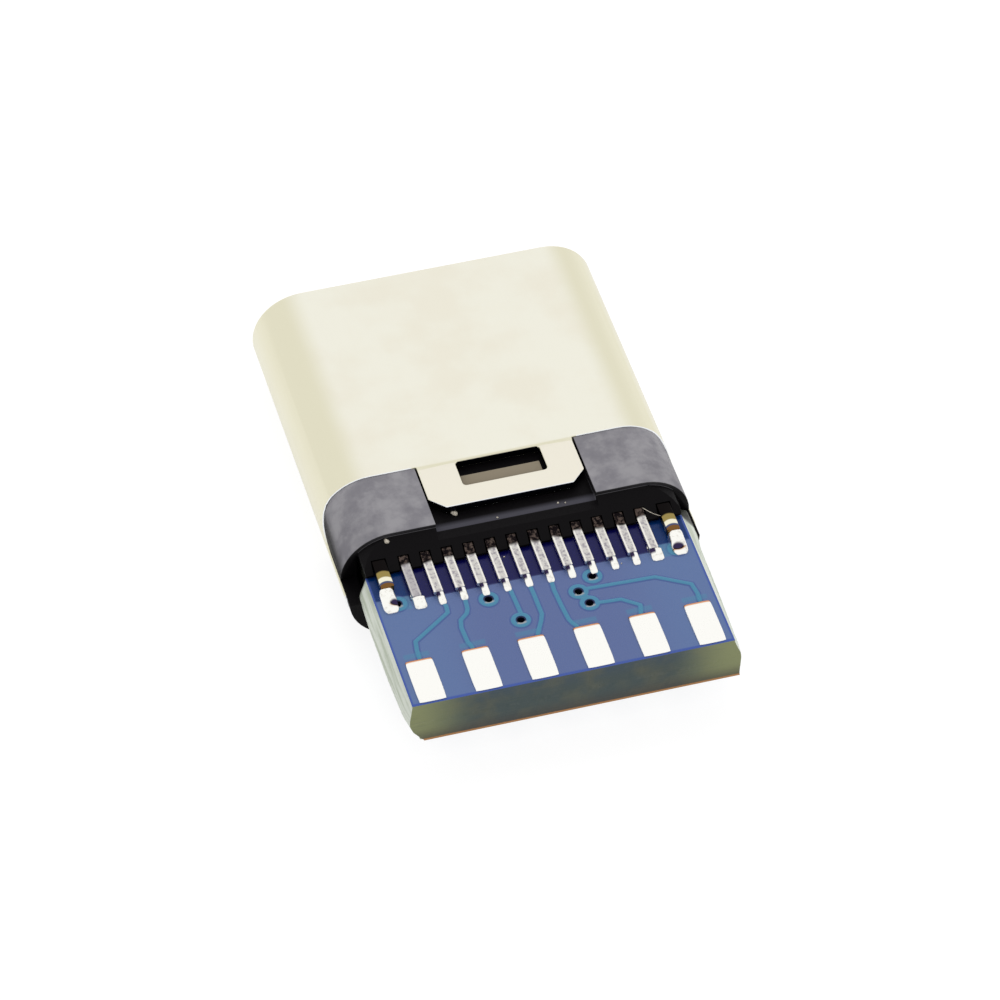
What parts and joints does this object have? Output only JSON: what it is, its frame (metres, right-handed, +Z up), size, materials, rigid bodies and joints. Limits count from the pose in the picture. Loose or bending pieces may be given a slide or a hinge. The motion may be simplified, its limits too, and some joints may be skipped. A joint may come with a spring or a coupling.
{
  "type": "usb-c plug",
  "caption": "Flat round-ended metal plug with a black insert, spring contacts inside its mouth and a small circuit board with wire pads behind.",
  "frame": {"origin": "centre of the bounding box at the level of the shell's flat underside", "axes": "+Y out of the plug's mouth, +X across the plug, +Z up through the upper contact row"},
  "size_m": [0.0082, 0.013, 0.0024],
  "materials": {
    "nickel": "satin nickel plate with a pale ivory tone",
    "black_moulding": "satin black moulding",
    "gilt_contact": "gilt at the nose, tinned and pale at the soldered foot",
    "spring_steel": "bright stamped spring steel",
    "solder_mask": "glossy blue solder mask over a green-grey glass and resin board",
    "tinned_copper": "smooth tinned pads"
  },
  "bodies": {
    "root": {"shell": "nickel", "front_housing": "black_moulding", "upper_contact_holder": "black_moulding", "lower_contact_holder": "black_moulding", "upper_contact_01": "gilt_contact", "upper_contact_02": "gilt_contact", "upper_contact_03": "gilt_contact", "upper_contact_04": "gilt_contact", "upper_contact_05": "gilt_contact", "upper_contact_06": "gilt_contact", "upper_contact_07": "gilt_contact", "upper_contact_08": "gilt_contact", "upper_contact_09": "gilt_contact", "upper_contact_10": "gilt_contact", "upper_contact_11": "gilt_contact", "upper_contact_12": "gilt_contact", "lower_contact_01": "gilt_contact", "lower_contact_02": "gilt_contact", "lower_contact_03": "gilt_contact", "lower_contact_04": "gilt_contact", "lower_contact_05": "gilt_contact", "lower_contact_08": "gilt_contact", "lower_contact_09": "gilt_contact", "lower_contact_10": "gilt_contact", "lower_contact_11": "gilt_contact", "lower_contact_12": "gilt_contact", "latch_plate": "spring_steel", "upper_ground_spring": "spring_steel", "lower_ground_spring": "spring_steel", "circuit_board": "solder_mask", "upper_wire_pad_1": "tinned_copper", "upper_wire_pad_2": "tinned_copper", "upper_wire_pad_3": "tinned_copper", "upper_wire_pad_4": "tinned_copper", "upper_wire_pad_5": "tinned_copper", "upper_wire_pad_6": "tinned_copper", "lower_wire_pad_1": "tinned_copper", "lower_wire_pad_2": "tinned_copper", "lower_wire_pad_3": "tinned_copper", "lower_wire_pad_4": "tinned_copper", "lower_wire_pad_5": "tinned_copper", "lower_wire_pad_6": "tinned_copper"}
  },
  "joints": []
}
